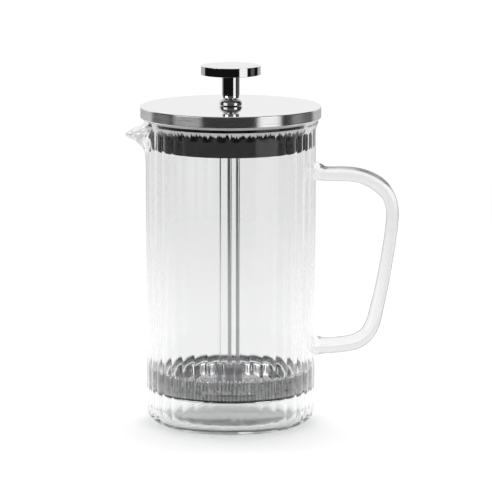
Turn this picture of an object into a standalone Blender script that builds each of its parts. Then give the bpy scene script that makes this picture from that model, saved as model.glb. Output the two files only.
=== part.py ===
"""Glass french press: beaker with fused handle, steel lid and plunger, as separate solids.
Metres, +Z up, origin on the beaker axis at the foot. +X points to the handle, -X to the spout."""
import math

import bmesh
import bpy
import numpy as np
from mathutils import Matrix, Vector

MM = 0.001
SEG = 64                     # facets round the large bodies
SMALL = 28                   # facets round the small bodies
GAP = 0.3                    # between neighbouring pieces

# beaker
BEAKER_R = 50.0
WALL_R = 46.5                # inner wall
FOOT_R = 40.5                # edge of the flat foot
FOOT_CORNER = 10.0
FLOOR_T = 4.0
FLOOR_CORNER = 7.5
RIM_Z = 183.6
RIM_R = 51.4
RIM_IN_R = 47.6
FLARE_Z = 174.8
SPOUT_REACH = 62.9
SPOUT_Z = 172.1
SPOUT_HALF = 24.0            # half angle taken up by the spout, degrees
SPOUT_LOW = 150.0            # where the spout starts to bulge
SPOUT_PULL = ((150, 0.0), (156, 0.008), (161, 0.028), (165, 0.075), (169, 0.22), (172, 0.345), (175, 0.50), (178.2, 0.72), (182.2, 0.95), (183.6, 1.0))

# handle
BAR_R = 4.4
HANDLE_TOP_Z = 149.5
HANDLE_LOW_Z = 45.4
WELD_R = 5.6
HANDLE_ON = 50.0 + GAP

# lid
LID_R = 53.1
LID_TOP = 188.7
LID_LOW = 181.9
LID_T = 0.8
LID_EDGE = 0.9
COLLAR_R = 43.6
COLLAR_T = 1.9
COLLAR_LOW = 163.5
FLANGE_R = 51.2
FLANGE_LOW = RIM_Z + GAP
FLANGE_TOP = 186.2
WEB_TOP = LID_TOP - LID_T - GAP
STRAINER_SLOTS = 9
STRAINER_SPAN = 56.0
STRAINER_W = 1.6
STRAINER_Z = (166.5, 179.5)

# guide
ROD_R = 3.0
BORE_R = ROD_R + GAP
FERRULE_R = 6.8
FERRULE_TOP = 192.7
BUSH_R = 4.4
BUSH_LOW = 176.5
NUT_AF = 12.0
NUT_Z = (177.6, 181.0)
WASHER_Z = (181.3, 182.3)
WEB_LOW = 182.6

# knob
DISC_R = 17.5
DISC_Z = (207.05, 212.35)
STEM_R = 5.2
STEM_Z = (193.2, 206.75)
STUD_R = 1.8
ROD_TOP = 202.5
SPIGOT_R = 2.4

# filter pack
ROD_LOW = 15.1
BOSS_R = 6.2
BOSS_Z = (23.9, 35.7)
HUB_WASHER_Z = (22.2, 23.6)
PLATE_T = 0.8
PLATE_FLOOR_Z = 21.1         # underside of the sunk middle of the spring plate
PLATE_STEP_R = 34.0
PLATE_EDGE_Z = 28.9          # underside of its raised rim
PLATE_R = 41.2
NOTCH_R = 38.7              # the coil passes through the notches of the rim
COIL_R = 2.1
WIRE_R = 0.45
COIL_RING_R = 41.9
COIL_Z = 30.1
COIL_TURNS = 36
MESH_R = 45.2
MESH_T = 0.4
MESH_TOP = 32.8
MESH_LOW = 20.4
CROSS_T = 1.1
CROSS_Z = 19.0
CROSS_R = 44.7
HUB_NUT_Z = (15.6, 18.7)


def clear():
    for o in list(bpy.data.objects):
        bpy.data.objects.remove(o, do_unlink=True)
    for m in list(bpy.data.meshes):
        bpy.data.meshes.remove(m)
    for m in list(bpy.data.materials):
        bpy.data.materials.remove(m)


def material(name, color, metallic=0.0, roughness=0.4, transmission=0.0):
    m = bpy.data.materials.new(name)
    m.use_nodes = True
    p = m.node_tree.nodes["Principled BSDF"]
    p.inputs["Base Color"].default_value = (*color, 1)
    p.inputs["Metallic"].default_value = metallic
    p.inputs["Roughness"].default_value = roughness
    p.inputs["Transmission Weight"].default_value = transmission
    p.inputs["IOR"].default_value = 1.47
    m.diffuse_color = (*color, 1)
    m.metallic = metallic
    m.roughness = roughness
    return m


def finish(name, bm, mat, origin=(0, 0, 0), smooth=True):
    """Turns a bmesh in mm into an object in metres with its origin at `origin` (mm)."""
    bmesh.ops.recalc_face_normals(bm, faces=bm.faces)
    bmesh.ops.translate(bm, verts=bm.verts, vec=-Vector(origin))
    bmesh.ops.scale(bm, verts=bm.verts, vec=(MM, MM, MM))
    me = bpy.data.meshes.new(name)
    bm.to_mesh(me)
    bm.free()
    me.materials.append(mat)
    o = bpy.data.objects.new(name, me)
    o.location = Vector(origin) * MM
    bpy.context.scene.collection.objects.link(o)
    if smooth:
        me.shade_smooth()
        me.set_sharp_from_angle(angle=math.radians(32))
    return o


def arc(cx, cz, r, a0, a1, n):
    """Points of an arc in the r-z plane, degrees, ends included."""
    return [
        (cx + r * math.cos(math.radians(a0 + (a1 - a0) * i / n)),
         cz + r * math.sin(math.radians(a0 + (a1 - a0) * i / n)))
        for i in range(n + 1)
    ]


def lathe(profile, seg, bm=None, shift=0.0):
    """Revolves a closed r-z outline. Points at r = 0 become one vertex on the axis."""
    bm = bm or bmesh.new()
    rings = []
    for r, z in profile:
        if r < 1e-6:
            rings.append([bm.verts.new((0, 0, z))])
        else:
            rings.append([
                bm.verts.new((r * math.cos(2 * math.pi * (i + shift) / seg),
                              r * math.sin(2 * math.pi * (i + shift) / seg), z))
                for i in range(seg)
            ])
    n = len(rings)
    for k in range(n):
        a, b = rings[k], rings[(k + 1) % n]
        if len(a) == 1 and len(b) == 1:
            continue
        for i in range(seg):
            j = (i + 1) % seg
            if len(a) == 1:
                bm.faces.new((a[0], b[j], b[i]))
            elif len(b) == 1:
                bm.faces.new((a[i], a[j], b[0]))
            else:
                bm.faces.new((a[i], a[j], b[j], b[i]))
    return bm


def prism(points, z0, z1, bm=None):
    """An upright prism on a convex outline."""
    bm = bm or bmesh.new()
    low = [bm.verts.new((x, y, z0)) for x, y in points]
    top = [bm.verts.new((x, y, z1)) for x, y in points]
    bm.faces.new(low[::-1])
    bm.faces.new(top)
    n = len(points)
    for i in range(n):
        j = (i + 1) % n
        bm.faces.new((low[i], low[j], top[j], top[i]))
    return bm


def cutter(name, bm):
    o = finish(name, bm, MAT_CUT, smooth=False)
    o.hide_render = True
    o.display_type = "WIRE"
    return o


def cut(target, tool):
    m = target.modifiers.new("cut_" + tool.name, "BOOLEAN")
    m.operation = "DIFFERENCE"
    m.object = tool
    m.solver = "EXACT"
    return m


def slot(bm, r0, r1, half_w, ang, z0, z1, n=3):
    """A radial slot with round ends."""
    d = Vector((math.cos(ang), math.sin(ang)))
    e = Vector((-d.y, d.x))
    pts = []
    for i in range(n + 1):
        t = -math.pi / 2 + math.pi * i / n
        pts.append(d * (r1 - half_w + half_w * math.cos(t)) + e * (half_w * math.sin(t)))
    for i in range(n + 1):
        t = math.pi / 2 + math.pi * i / n
        pts.append(d * (r0 + half_w + half_w * math.cos(t)) + e * (half_w * math.sin(t)))
    prism([(p.x, p.y) for p in pts], z0, z1, bm)


def round_hole(bm, r, cx, cy, z0, z1, n=10):
    prism([(cx + r * math.cos(2 * math.pi * i / n), cy + r * math.sin(2 * math.pi * i / n))
           for i in range(n)], z0, z1, bm)


clear()
MAT_CUT = material("cutter", (1, 0, 0))
GLASS = material("glass", (0.95, 0.97, 0.96), roughness=0.02, transmission=1.0)
STEEL = material("polished_steel", (0.80, 0.80, 0.81), metallic=1.0, roughness=0.08)
WIRE = material("steel_wire", (0.62, 0.62, 0.62), metallic=1.0, roughness=0.3)
BLACK = material("black_plastic", (0.012, 0.012, 0.013), roughness=0.25)

# ---------------------------------------------------------------- beaker
def smoothstep(t):
    t = max(0.0, min(1.0, t))
    return t * t * (3 - 2 * t)


outer = [(0, 0), (FOOT_R, 0)]
outer += arc(BEAKER_R - FOOT_CORNER, FOOT_CORNER, FOOT_CORNER, -75, 0, 5)
outer += [(BEAKER_R, z) for z in (150, 156, 161, 165, 169)]
outer += [(BEAKER_R, 172.0), (BEAKER_R, FLARE_Z), (BEAKER_R + 0.4, 176.4), (RIM_R - 0.15, 178.6),
          (RIM_R, 179.6), (RIM_R, 182.2)]
rim = [(RIM_R - 1.0, RIM_Z), (RIM_IN_R + 0.8, RIM_Z)]
inner = [(RIM_IN_R, 182.0), (RIM_IN_R, 179.4), (WALL_R + 0.35, 176.4),
         (WALL_R, FLARE_Z), (WALL_R, 172.0)]
inner += [(WALL_R, z) for z in (169, 165, 161, 156, 150)]
inner += arc(WALL_R - FLOOR_CORNER, FLOOR_T + FLOOR_CORNER, FLOOR_CORNER, 0, -90, 4)
inner += [(0, FLOOR_T)]
profile = outer + rim + inner


def spout_shift(r, z, ang):
    """Outward and downward pull of the rim where the spout is, at angle `ang` from -X, degrees."""
    a = abs(ang) / SPOUT_HALF
    if a >= 1 or r < 45 or z < SPOUT_LOW:
        return 0.0, 0.0
    up = max(0.0, min(1.0, (z - SPOUT_LOW) / (RIM_Z - SPOUT_LOW)))
    pull = float(np.interp(z, [k for k, _ in SPOUT_PULL], [v for _, v in SPOUT_PULL]))
    out = (SPOUT_REACH - RIM_R) * pull * (1 - a * a) ** 2.7
    down = -(RIM_Z - SPOUT_Z) * up ** 1.5 * (1 - a * a) ** 1.3
    return out, down


bm = bmesh.new()
rings = []
half = len(outer) + len(rim) // 2
# facets are closer together round the spout, so that its curve is smooth
angles = []
fine = 14
for i in range(fine):
    angles.append(180 - SPOUT_HALF - 1 + (2 * SPOUT_HALF + 2) * i / fine)
rest = 52
for i in range(rest):
    angles.append(180 + SPOUT_HALF + 1 + (360 - 2 * SPOUT_HALF - 2) * i / rest)
for r, z in profile:
    if r < 1e-6:
        rings.append([bm.verts.new((0, 0, z))])
        continue
    ring = []
    for deg in angles:
        off = (deg - 180 + 180) % 360 - 180
        out, down = spout_shift(r, z, off)
        rr = r + out
        ring.append(bm.verts.new((rr * math.cos(math.radians(deg)), rr * math.sin(math.radians(deg)), z + down)))
    rings.append(ring)
seg = len(angles)
for k in range(len(rings) - 1):
    a, b = rings[k], rings[k + 1]
    for i in range(seg):
        j = (i + 1) % seg
        if len(a) == 1:
            bm.faces.new((a[0], b[j], b[i]))
        elif len(b) == 1:
            bm.faces.new((a[i], a[j], b[0]))
        else:
            bm.faces.new((a[i], a[j], b[j], b[i]))
beaker = finish("beaker", bm, GLASS)

# ---------------------------------------------------------------- handle
def catmull(points, per):
    pts = [np.array(p, float) for p in points]
    pts = [2 * pts[0] - pts[1]] + pts + [2 * pts[-1] - pts[-2]]
    out = []
    for k in range(1, len(pts) - 2):
        p0, p1, p2, p3 = pts[k - 1:k + 3]
        t0, t1 = 0.0, np.linalg.norm((p1 - p0)[:2]) ** 0.5
        t2 = t1 + np.linalg.norm((p2 - p1)[:2]) ** 0.5
        t3 = t2 + np.linalg.norm((p3 - p2)[:2]) ** 0.5
        for i in range(per):
            t = t1 + (t2 - t1) * i / per
            a1 = (t1 - t) / (t1 - t0) * p0 + (t - t0) / (t1 - t0) * p1
            a2 = (t2 - t) / (t2 - t1) * p1 + (t - t1) / (t2 - t1) * p2
            a3 = (t3 - t) / (t3 - t2) * p2 + (t - t2) / (t3 - t2) * p3
            b1 = (t2 - t) / (t2 - t0) * a1 + (t - t0) / (t2 - t0) * a2
            b2 = (t3 - t) / (t3 - t1) * a2 + (t - t1) / (t3 - t1) * a3
            out.append((t2 - t) / (t2 - t1) * b1 + (t - t1) / (t2 - t1) * b2)
    out.append(pts[-2])
    return out


# x, z and bar radius along the middle of the bar
HANDLE_PATH = [
    (HANDLE_ON + 0.4, HANDLE_TOP_Z, WELD_R), (53.2, HANDLE_TOP_Z, 4.9), (57.0, HANDLE_TOP_Z, BAR_R),
    (66.0, HANDLE_TOP_Z, BAR_R), (74.0, 148.8, BAR_R), (81.5, 146.4, BAR_R + 0.1), (88.3, 141.6, BAR_R + 0.1),
    (93.4, 134.8, BAR_R - 0.4), (95.9, 126.6, BAR_R - 0.6), (95.5, 117.5, BAR_R - 0.7),
    (93.4, 103.7, BAR_R - 0.7), (90.2, 84.5, BAR_R - 0.55), (87.2, 69.2, BAR_R - 0.3),
    (84.4, 58.6, BAR_R), (80.2, 51.8, BAR_R + 0.3), (74.0, 48.0, BAR_R + 0.4),
    (66.0, 46.3, BAR_R + 0.4), (58.0, 45.6, BAR_R + 0.5), (53.6, HANDLE_LOW_Z, 5.3), (HANDLE_ON + 0.4, HANDLE_LOW_Z, 6.0),
]
path = catmull(HANDLE_PATH, 2)
bm = bmesh.new()
rings = []
sides = 14
for k, (x, z, r) in enumerate(path):
    a = path[max(k - 1, 0)]
    b = path[min(k + 1, len(path) - 1)]
    t = Vector((b[0] - a[0], 0, b[1] - a[1])).normalized()
    if k in (0, len(path) - 1):
        t = Vector((1 if k == 0 else -1, 0, 0))
    n = Vector((-t.z, 0, t.x))
    ring = []
    for i in range(sides):
        w = 2 * math.pi * i / sides
        p = Vector((x, 0, z)) + n * (r * math.cos(w)) + Vector((0, 1, 0)) * (r * math.sin(w))
        if k in (0, len(path) - 1):    # the end hugs the round beaker
            p.x = math.sqrt(HANDLE_ON ** 2 - p.y ** 2) + 0.25
        ring.append(bm.verts.new(p))
    rings.append(ring)
for k in range(len(rings) - 1):
    for i in range(sides):
        j = (i + 1) % sides
        bm.faces.new((rings[k][i], rings[k][j], rings[k + 1][j], rings[k + 1][i]))
for ring, sign in ((rings[0], 1), (rings[-1], -1)):
    mid = bm.verts.new((HANDLE_ON + 0.25, 0, sum(v.co.z for v in ring) / sides))
    for i in range(sides):
        j = (i + 1) % sides
        bm.faces.new((mid, ring[j], ring[i]) if sign > 0 else (mid, ring[i], ring[j]))
handle = finish("handle", bm, GLASS)

# ---------------------------------------------------------------- lid cap
cap = [(BUSH_R + GAP, LID_TOP - LID_T), (BUSH_R + GAP, LID_TOP)]
cap += arc(LID_R - LID_EDGE, LID_TOP - LID_EDGE, LID_EDGE, 90, 0, 4)
cap += [(LID_R, LID_LOW + 0.25), (LID_R - 0.25, LID_LOW), (LID_R - LID_T, LID_LOW), (LID_R - LID_T, LID_TOP - LID_T)]
finish("lid_cap", lathe(cap, SEG), STEEL)

# ---------------------------------------------------------------- lid collar (insert)
col = [(BUSH_R + GAP, WEB_LOW), (BUSH_R + GAP, WEB_TOP), (FLANGE_R - 3.5, WEB_TOP), (FLANGE_R, FLANGE_TOP),
       (FLANGE_R, FLANGE_LOW), (COLLAR_R + 0.4, FLANGE_LOW), (COLLAR_R + 0.2, FLANGE_LOW - 1.2), (COLLAR_R, COLLAR_LOW + 0.5),
       (COLLAR_R - 0.5, COLLAR_LOW), (COLLAR_R - COLLAR_T, COLLAR_LOW), (COLLAR_R - COLLAR_T, WEB_LOW)]
collar = finish("lid_collar", lathe(col, SEG), BLACK)
bm = bmesh.new()
for i in range(STRAINER_SLOTS):
    ang = math.radians(180 + STRAINER_SPAN * (i / (STRAINER_SLOTS - 1) - 0.5))
    d, e = Vector((math.cos(ang), math.sin(ang))), Vector((-math.sin(ang), math.cos(ang)))
    pts = [d * (COLLAR_R - 4) + e * STRAINER_W / 2, d * (COLLAR_R - 4) - e * STRAINER_W / 2,
           d * (COLLAR_R + 2) - e * STRAINER_W / 2, d * (COLLAR_R + 2) + e * STRAINER_W / 2]
    prism([(p.x, p.y) for p in pts], STRAINER_Z[0], STRAINER_Z[1], bm)
cut(collar, cutter("strainer_cut", bm))

# ---------------------------------------------------------------- guide
dome = [(BORE_R, LID_TOP + GAP + 2.0), (BUSH_R + GAP, LID_TOP + GAP + 2.0), (BUSH_R + GAP, LID_TOP + GAP),
        (FERRULE_R - 0.3, LID_TOP + GAP), (FERRULE_R, LID_TOP + GAP + 0.5)]
dome += [(3.9 + (FERRULE_R - 3.9) * math.cos(math.radians(a)), LID_TOP + GAP + 0.9 + (FERRULE_TOP - LID_TOP - GAP - 0.9) * math.sin(math.radians(a)))
         for a in (0, 20, 40, 60, 78, 90)]
dome += [(BORE_R, FERRULE_TOP)]
finish("guide_ferrule", lathe(dome, SMALL), STEEL)
bush_top = LID_TOP + GAP + 2.0 - GAP
finish("guide_bush", lathe([(BORE_R, BUSH_LOW), (BUSH_R - 0.3, BUSH_LOW), (BUSH_R, BUSH_LOW + 0.3), (BUSH_R, bush_top), (BORE_R, bush_top)], SMALL), STEEL)
finish("guide_washer", lathe([(BUSH_R + GAP, WASHER_Z[0]), (9.5, WASHER_Z[0]), (9.5, WASHER_Z[1]), (BUSH_R + GAP, WASHER_Z[1])], SMALL), WIRE)


def hex_nut(name, af, bore, z0, z1, mat, seg=24):
    """Hexagonal nut with a round bore, walls stitched side by side."""
    bm = bmesh.new()
    rr = af / 2 / math.cos(math.pi / 6)

    def hexr(a):
        t = (a + math.pi / 6) % (math.pi / 3) - math.pi / 6
        return rr * math.cos(math.pi / 6) / math.cos(t)
    rows = []
    for r_of, z in ((lambda a: bore, z0), (hexr, z0), (hexr, z1), (lambda a: bore, z1)):
        rows.append([bm.verts.new((r_of(2 * math.pi * i / seg) * math.cos(2 * math.pi * i / seg),
                                   r_of(2 * math.pi * i / seg) * math.sin(2 * math.pi * i / seg), z)) for i in range(seg)])
    for k in range(4):
        a, b = rows[k], rows[(k + 1) % 4]
        for i in range(seg):
            j = (i + 1) % seg
            bm.faces.new((a[i], a[j], b[j], b[i]))
    return finish(name, bm, mat)


hex_nut("guide_nut", NUT_AF, BUSH_R + GAP, NUT_Z[0], NUT_Z[1], WIRE)

# ---------------------------------------------------------------- knob
e = 0.35
stud_top = DISC_Z[1] - 1.2
finish("knob_disc", lathe([(STUD_R + GAP, DISC_Z[0]), (DISC_R - e, DISC_Z[0]), (DISC_R, DISC_Z[0] + e), (DISC_R, DISC_Z[1] - e),
                           (DISC_R - e, DISC_Z[1]), (0, DISC_Z[1]), (0, stud_top), (STUD_R + GAP, stud_top)], 48), STEEL)
finish("knob_stud", lathe([(0, 203.3), (STUD_R, 203.3), (STUD_R, stud_top - GAP), (0, stud_top - GAP)], 20), WIRE)
finish("knob_stem", lathe([(BORE_R, STEM_Z[0]), (STEM_R - 0.5, STEM_Z[0]), (STEM_R, STEM_Z[0] + 0.5), (STEM_R, STEM_Z[1] - 0.3), (STEM_R - 0.3, STEM_Z[1]),
                           (STUD_R + GAP, STEM_Z[1]), (STUD_R + GAP, 202.9), (SPIGOT_R + GAP, 202.9), (SPIGOT_R + GAP, 196.5), (BORE_R, 196.2)], SMALL), STEEL)
finish("plunger_rod", lathe([(0, ROD_LOW), (SPIGOT_R - 0.3, ROD_LOW), (SPIGOT_R, ROD_LOW + 0.4), (SPIGOT_R, BOSS_Z[1] - 4.4), (ROD_R, BOSS_Z[1] - 3.8),
                             (ROD_R, 195.6), (SPIGOT_R, 196.1), (SPIGOT_R, ROD_TOP - 0.4), (SPIGOT_R - 0.4, ROD_TOP), (0, ROD_TOP)], 24), STEEL)

# ---------------------------------------------------------------- filter pack
b0, b1 = BOSS_Z
finish("hub_boss", lathe([(SPIGOT_R + GAP, b0), (BOSS_R - 0.3, b0), (BOSS_R, b0 + 0.3), (BOSS_R, b1 - 0.5), (BOSS_R - 0.5, b1), (BORE_R, b1), (BORE_R, b1 - 3.9), (SPIGOT_R + GAP, b1 - 4.6)], SMALL), STEEL)
finish("hub_washer", lathe([(SPIGOT_R + GAP, HUB_WASHER_Z[0]), (8.4, HUB_WASHER_Z[0]), (8.4, HUB_WASHER_Z[1]), (SPIGOT_R + GAP, HUB_WASHER_Z[1])], SMALL), WIRE)

# spring plate: sunk middle, wall with small slots, flat rim under the coil
p = PLATE_T
f = PLATE_FLOOR_Z
g = PLATE_EDGE_Z
plate = [(SPIGOT_R + GAP, f), (PLATE_STEP_R, f), (PLATE_STEP_R + 0.9, g), (PLATE_R, g), (PLATE_R, g + p), (PLATE_STEP_R + 0.1, g + p),
         (PLATE_STEP_R - 0.75, f + p), (SPIGOT_R + GAP, f + p)]
spring_plate = finish("spring_plate", lathe(plate, 60), STEEL)
bm = bmesh.new()
for i in range(8):
    slot(bm, 12.0, 21.0, 1.8, 2 * math.pi * (i + 0.5) / 8, f - 2, f + 3)
for i in range(16):
    slot(bm, 23.5, 31.5, 1.9, 2 * math.pi * (i + 0.5) / 16, f - 2, f + 3)
for i in range(COIL_TURNS):
    ang = 2 * math.pi * (i + 204 / 360) / COIL_TURNS
    d, n = Vector((math.cos(ang), math.sin(ang))), Vector((-math.sin(ang), math.cos(ang)))
    q = [d * NOTCH_R + n * 1.15, d * NOTCH_R - n * 1.15, d * (PLATE_R + 1) - n * 1.15, d * (PLATE_R + 1) + n * 1.15]
    prism([(v.x, v.y) for v in q], g - 1, g + 3, bm)
cut(spring_plate, cutter("plate_cut", bm))

# coil spring laid round the rim: a wire wound on a ring
bm = bmesh.new()
per_turn = 8
wire_sides = 4
count = COIL_TURNS * per_turn
rings = []
for k in range(count):
    big = 2 * math.pi * k / count
    small = 2 * math.pi * k / per_turn
    er = Vector((math.cos(big), math.sin(big), 0))
    et = Vector((-math.sin(big), math.cos(big), 0))
    ez = Vector((0, 0, 1))
    c = er * (COIL_RING_R + COIL_R * math.cos(small)) + ez * (COIL_Z + COIL_R * math.sin(small))
    tangent = (et * (COIL_RING_R + COIL_R * math.cos(small)) / count
               + (-er * math.sin(small) + ez * math.cos(small)) * COIL_R / per_turn).normalized()
    out = (er * math.cos(small) + ez * math.sin(small))
    out = (out - tangent * out.dot(tangent)).normalized()
    side = tangent.cross(out)
    rings.append([bm.verts.new(c + out * (WIRE_R * math.cos(2 * math.pi * (i + 0.5) / wire_sides)) + side * (WIRE_R * math.sin(2 * math.pi * (i + 0.5) / wire_sides)))
                  for i in range(wire_sides)])
for k in range(count):
    a, b = rings[k], rings[(k + 1) % count]
    for i in range(wire_sides):
        j = (i + 1) % wire_sides
        bm.faces.new((a[i], a[j], b[j], b[i]))
finish("edge_spring", bm, WIRE)

# mesh disc with a turned-up edge
m = MESH_T
mesh_profile = [(SPIGOT_R + GAP, MESH_LOW), (MESH_R - 1.0, MESH_LOW), (MESH_R - 0.3, MESH_LOW + 0.3), (MESH_R, MESH_LOW + 1.0), (MESH_R, MESH_TOP), (MESH_R - m, MESH_TOP),
                (MESH_R - m, MESH_LOW + 1.1), (MESH_R - 0.3 - m * 0.7, MESH_LOW + 0.3 + m * 0.7), (MESH_R - 1.05, MESH_LOW + m), (SPIGOT_R + GAP, MESH_LOW + m)]
finish("filter_mesh", lathe(mesh_profile, 60), WIRE)

# bottom plate
cross = [(SPIGOT_R + GAP, CROSS_Z), (CROSS_R - 0.35, CROSS_Z), (CROSS_R, CROSS_Z + 0.3), (CROSS_R, CROSS_Z + CROSS_T - 0.1), (CROSS_R - 0.1, CROSS_Z + CROSS_T), (SPIGOT_R + GAP, CROSS_Z + CROSS_T)]
cross_plate = finish("cross_plate", lathe(cross, 60), STEEL)
bm = bmesh.new()
for i in range(4):
    slot(bm, 10.5, 19.5, 3.0, 2 * math.pi * (i + 0.5) / 4, CROSS_Z - 2, CROSS_Z + 3)
for i in range(8):
    slot(bm, 22.5, 38.5, 3.4, 2 * math.pi * (i + 0.5) / 8, CROSS_Z - 2, CROSS_Z + 3)
cut(cross_plate, cutter("cross_cut", bm))
hex_nut("hub_nut", 10.0, SPIGOT_R + GAP, HUB_NUT_Z[0], HUB_NUT_Z[1], STEEL)
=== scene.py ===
import math

import bmesh
import bpy
import numpy as np
from mathutils import Matrix, Vector


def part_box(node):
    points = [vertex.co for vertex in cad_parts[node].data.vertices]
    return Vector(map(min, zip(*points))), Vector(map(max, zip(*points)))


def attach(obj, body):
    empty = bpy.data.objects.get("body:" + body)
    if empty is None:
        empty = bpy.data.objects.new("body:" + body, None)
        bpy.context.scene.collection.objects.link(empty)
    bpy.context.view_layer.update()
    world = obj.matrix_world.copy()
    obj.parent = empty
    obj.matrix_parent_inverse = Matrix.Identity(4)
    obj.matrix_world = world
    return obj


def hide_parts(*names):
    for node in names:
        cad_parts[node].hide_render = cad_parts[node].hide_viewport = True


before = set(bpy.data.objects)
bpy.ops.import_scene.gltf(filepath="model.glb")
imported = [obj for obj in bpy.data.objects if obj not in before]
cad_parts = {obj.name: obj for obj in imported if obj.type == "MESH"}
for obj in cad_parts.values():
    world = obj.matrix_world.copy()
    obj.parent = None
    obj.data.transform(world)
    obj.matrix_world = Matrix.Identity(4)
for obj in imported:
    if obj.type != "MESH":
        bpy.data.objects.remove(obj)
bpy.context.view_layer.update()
MM = 0.001
TAU = 2 * math.pi

# ------------------------------------------------------------------ small tools
def top_of(node):
    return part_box(node)[1].z / MM


def low_of(node):
    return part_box(node)[0].z / MM


def radius_of(node):
    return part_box(node)[1].x / MM


def link(name, bm, mat, smooth=30.0, recalc=True):
    if recalc:
        bmesh.ops.recalc_face_normals(bm, faces=bm.faces)
    bmesh.ops.scale(bm, verts=bm.verts, vec=(MM, MM, MM))
    me = bpy.data.meshes.new(name)
    bm.to_mesh(me)
    bm.free()
    for m in (mat if isinstance(mat, (list, tuple)) else [mat]):
        me.materials.append(m)
    o = bpy.data.objects.new(name, me)
    bpy.context.scene.collection.objects.link(o)
    if smooth:
        me.shade_smooth()
        me.set_sharp_from_angle(angle=math.radians(smooth))
    return o


def place(obj, body, nodes, slot):
    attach(obj, body)
    for n in nodes:
        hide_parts(n)
    return obj


def arc(cx, cz, r, a0, a1, n):
    return [(cx + r * math.cos(math.radians(a0 + (a1 - a0) * i / n)),
             cz + r * math.sin(math.radians(a0 + (a1 - a0) * i / n))) for i in range(n + 1)]


def rounded(points, radii, n=4):
    """A closed r-z outline with each corner replaced by a small arc of the given radius."""
    out = []
    count = len(points)
    for k in range(count):
        p = Vector(points[k])
        a = (Vector(points[k - 1]) - p)
        b = (Vector(points[(k + 1) % count]) - p)
        r = radii[k] if isinstance(radii, (list, tuple)) else radii
        if r <= 0 or p.x < 1e-6:
            out.append(tuple(p))
            continue
        la, lb = a.length, b.length
        a, b = a / la, b / lb
        half = math.acos(max(-1, min(1, a.dot(b)))) / 2
        if abs(half - math.pi / 2) < 0.02:
            out.append(tuple(p))
            continue
        t = min(r / math.tan(half), la * 0.48, lb * 0.48)
        rr = t * math.tan(half)
        centre = p + (a + b).normalized() * (rr / math.sin(half))
        s, e = p + a * t - centre, p + b * t - centre
        ang = math.atan2(s.x * e.y - s.y * e.x, s.dot(e))
        hold = 0.06 * r      # a thin strip on each side keeps the flat faces shaded flat
        if la > 2.5 * t:
            out.append(tuple(p + a * (t + hold)))
        for i in range(n + 1):
            w = ang * i / n
            out.append((centre.x + s.x * math.cos(w) - s.y * math.sin(w), centre.y + s.x * math.sin(w) + s.y * math.cos(w)))
        if lb > 2.5 * t:
            out.append(tuple(p + b * (t + hold)))
    return out


def lathe(profile, seg, bm=None):
    bm = bm or bmesh.new()
    rings = []
    for r, z in profile:
        if r < 1e-5:
            rings.append([bm.verts.new((0, 0, z))])
        else:
            rings.append([bm.verts.new((r * math.cos(TAU * i / seg), r * math.sin(TAU * i / seg), z)) for i in range(seg)])
    for k in range(len(rings)):
        a, b = rings[k], rings[(k + 1) % len(rings)]
        if len(a) == 1 and len(b) == 1:
            continue
        for i in range(seg):
            j = (i + 1) % seg
            if len(a) == 1:
                bm.faces.new((a[0], b[j], b[i]))
            elif len(b) == 1:
                bm.faces.new((a[i], a[j], b[0]))
            else:
                bm.faces.new((a[i], a[j], b[j], b[i]))
    return bm


def sweep(bm, points, radius, sides, closed=False, squash=1.0):
    """A round wire through the points. Frames are carried along so that it does not twist."""
    pts = [Vector(p) for p in points]
    count = len(pts)
    up = None
    rings = []
    for k in range(count):
        a = pts[k - 1] if (k or closed) else pts[0]
        b = pts[(k + 1) % count] if (k < count - 1 or closed) else pts[-1]
        t = (b - a).normalized()
        if up is None:
            up = t.orthogonal().normalized()
        up = (up - t * up.dot(t)).normalized()
        side = t.cross(up)
        r = radius[k] if isinstance(radius, (list, tuple)) else radius
        rings.append([bm.verts.new(pts[k] + up * (r * math.cos(TAU * i / sides)) + side * (r * squash * math.sin(TAU * i / sides))) for i in range(sides)])
    last = count if closed else count - 1
    for k in range(last):
        a, b = rings[k], rings[(k + 1) % count]
        for i in range(sides):
            j = (i + 1) % sides
            bm.faces.new((a[i], a[j], b[j], b[i]))
    if not closed:
        bm.faces.new(rings[0][::-1])
        bm.faces.new(rings[-1])
    return rings


# ------------------------------------------------------------------ materials
def new_material(name):
    m = bpy.data.materials.new(name)
    m.use_nodes = True
    nt = m.node_tree
    p = nt.nodes["Principled BSDF"]
    return m, nt, p


def node(nt, kind, **props):
    n = nt.nodes.new(kind)
    for k, v in props.items():
        setattr(n, k, v)
    return n


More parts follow.
